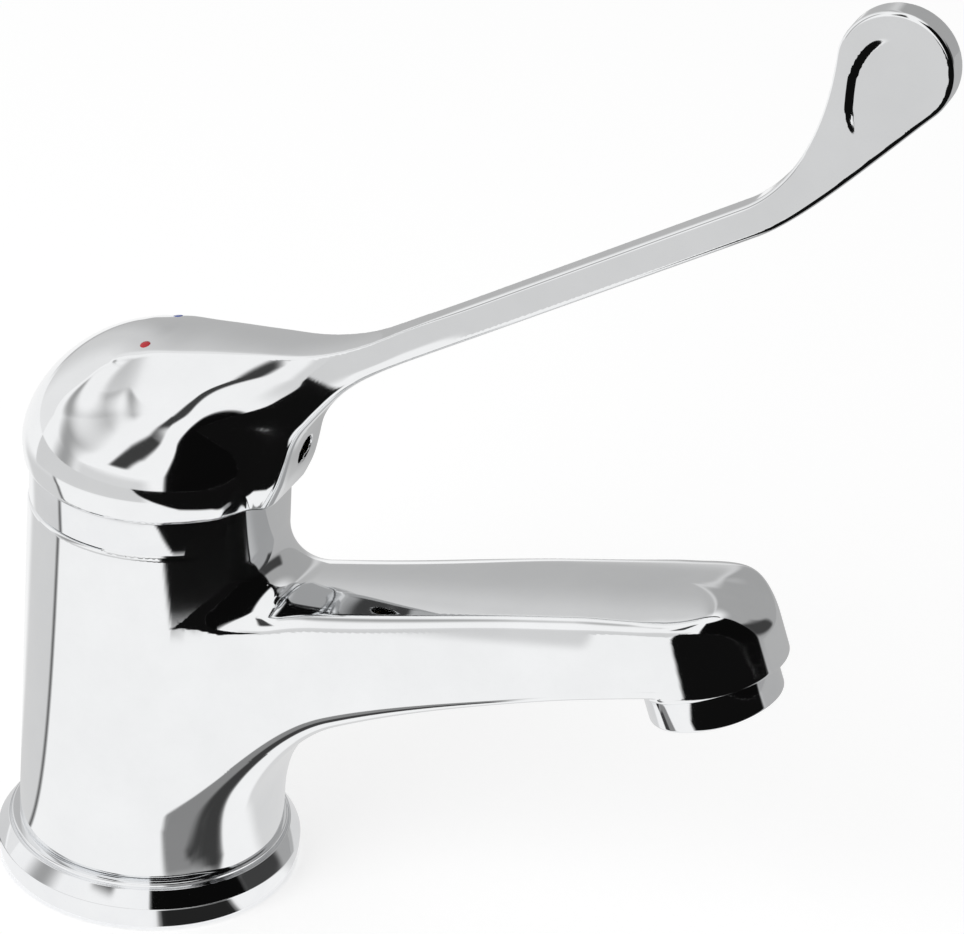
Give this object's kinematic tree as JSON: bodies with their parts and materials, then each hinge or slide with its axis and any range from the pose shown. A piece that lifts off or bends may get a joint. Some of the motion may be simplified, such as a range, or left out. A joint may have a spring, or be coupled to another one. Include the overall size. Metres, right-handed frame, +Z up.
{
  "type": "elbow lever tap",
  "caption": "Single-lever basin mixer tap with a straight rising spout, an aerator, a ceramic disc cartridge and a long elbow lever that ends in an upright paddle.",
  "frame": {"origin": "middle of the base, on the underside of the gasket, where the tap stands on the basin", "axes": "+Z up along the body's axis, +X towards the spout's outlet"},
  "size_m": [0.1622, 0.056, 0.1941],
  "materials": {
    "chrome_body": "polished chrome plate on cast brass",
    "chrome_lever": "polished chrome plate on die-cast zinc",
    "chrome_trim": "polished chrome plate on turned brass",
    "brass": "turned, bare",
    "steel": "plain",
    "ceramic": "lapped",
    "white_plastic": "moulded",
    "grey_plastic": "moulded",
    "rubber": "moulded",
    "red_mark": "set flush",
    "blue_mark": "set flush"
  },
  "bodies": {
    "tap": {"base_ring": "chrome_trim", "base_gasket": "rubber", "tap_body": "chrome_body", "collar": "chrome_trim", "clamp_nut": "brass", "cartridge_housing": "white_plastic", "cartridge_base": "white_plastic", "housing_seal": "rubber", "inlet_seals": "rubber", "disc_gasket": "rubber", "fixed_disc": "ceramic", "aerator_housing": "chrome_trim", "aerator_insert": "white_plastic", "aerator_screen": "steel", "aerator_washer": "rubber"},
    "rotor": {"rotor": "grey_plastic", "pivot_pin": "steel"},
    "lever": {"stem": "brass", "lever_handle": "chrome_lever", "grub_screw": "steel", "hot_mark": "red_mark", "cold_mark": "blue_mark"},
    "slider": {"disc_coupler": "grey_plastic", "moving_disc": "ceramic"}
  },
  "joints": [
    {"name": "lever_turn", "type": "hinge", "parent": "tap", "child": "rotor", "pos_m": [0, 0, 0.071], "axis": [0, 0, 1], "range_deg": [-50, 50]},
    {"name": "lever_lift", "type": "hinge", "parent": "rotor", "child": "lever", "pos_m": [0, 0, 0.071], "axis": [0, -1, 0], "range_deg": [0, 25]},
    {"name": "disc_slide", "type": "slide", "parent": "rotor", "child": "slider", "axis": [1, 0, 0], "range_m": [0, 0.0043]}
  ],
  "couplings": [
    {"joint": "disc_slide", "follows": "lever_lift", "m_per_rad": 0.00975}
  ]
}
